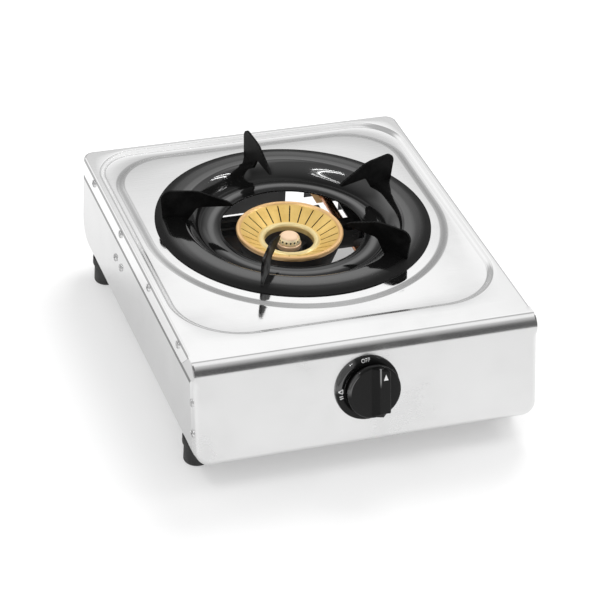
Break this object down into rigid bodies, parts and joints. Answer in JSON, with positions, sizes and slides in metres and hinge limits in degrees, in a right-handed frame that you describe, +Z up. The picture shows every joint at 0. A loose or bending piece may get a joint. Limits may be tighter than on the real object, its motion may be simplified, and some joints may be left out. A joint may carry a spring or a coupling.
{
  "type": "single burner gas stove",
  "caption": "Table-top gas stove with a folded steel body on rubber feet, a lift-off enamelled drip pan with pot supports, a ring burner with brass caps and a push-and-turn gas valve.",
  "frame": {"origin": "on the floor under the middle of the overall box", "axes": "+X to the right seen from the knob's side, +Y to the back where the gas inlet is, +Z up"},
  "size_m": [0.3034, 0.4128, 0.1406],
  "materials": {
    "stainless": "polished sheet",
    "zinc_steel": "zinc plated",
    "screw_steel": "bright",
    "rubber": "matte",
    "support_enamel": "satin black enamel",
    "pan_enamel": "gloss black enamel",
    "brass": "satin",
    "cast_iron": "as cast",
    "cast_alloy": "as cast",
    "copper": "drawn copper",
    "black_plastic": "semi gloss",
    "white_mark": "matte"
  },
  "bodies": {
    "base": {"top_panel": "stainless", "side_panel_left": "stainless", "side_panel_right": "stainless", "back_panel": "zinc_steel", "cross_bar": "zinc_steel", "foot_front_left": "rubber", "foot_front_right": "rubber", "foot_back_left": "rubber", "foot_back_right": "rubber", "foot_screws": "zinc_steel", "flange_screws": "screw_steel", "front_screws": "screw_steel", "bar_screws": "screw_steel", "back_screws": "screw_steel", "burner_body": "cast_iron", "burner_bolts": "zinc_steel", "injector_outer": "brass", "injector_inner": "brass", "valve_bracket": "zinc_steel", "valve_body": "cast_alloy", "valve_cover": "zinc_steel", "valve_screws": "zinc_steel", "valve_spring": "zinc_steel", "gas_pipe": "copper", "pipe_nut": "brass", "inlet_nozzle": "brass", "inlet_locknut": "brass", "bezel": "black_plastic"},
    "pan": {"drip_pan": "pan_enamel", "pot_support_1": "support_enamel", "pot_support_2": "support_enamel", "pot_support_3": "support_enamel", "pot_support_4": "support_enamel", "pot_support_5": "support_enamel"},
    "large_cap": {"burner_cap": "brass"},
    "small_cap": {"inner_cap": "brass"},
    "shutter_outer": {"air_shutter_outer": "zinc_steel"},
    "shutter_inner": {"air_shutter_inner": "zinc_steel"},
    "plug": {"valve_plug": "brass"},
    "knob": {"knob": "black_plastic", "knob_pointer": "white_mark", "valve_stem": "zinc_steel"}
  },
  "joints": [
    {"name": "valve_turn", "type": "hinge", "parent": "base", "child": "plug", "pos_m": [0, -0.18295, 0.07321], "axis": [0, -0.977, 0.213], "range_deg": [0, 200]},
    {"name": "knob_push", "type": "slide", "parent": "plug", "child": "knob", "axis": [0, 0.977, -0.213], "range_m": [0, 0.0035], "stiffness_N_per_m": 900, "springref_m": -0.004, "deforming": ["valve_spring"]},
    {"name": "pan_lift", "type": "slide", "parent": "base", "child": "pan", "axis": [0, 0, 1], "range_m": [0, 0.06]},
    {"name": "large_cap_lift", "type": "slide", "parent": "base", "child": "large_cap", "axis": [0, 0, 1], "range_m": [0, 0.06]},
    {"name": "small_cap_lift", "type": "slide", "parent": "base", "child": "small_cap", "axis": [0, 0, 1], "range_m": [0, 0.03]},
    {"name": "outer_air", "type": "hinge", "parent": "base", "child": "shutter_outer", "pos_m": [0.011, -0.09149, 0.072], "axis": [0, 1, 0], "range_deg": [-40, 40]},
    {"name": "inner_air", "type": "hinge", "parent": "base", "child": "shutter_inner", "pos_m": [-0.016, -0.09149, 0.072], "axis": [0, 1, 0], "range_deg": [-40, 40]}
  ]
}
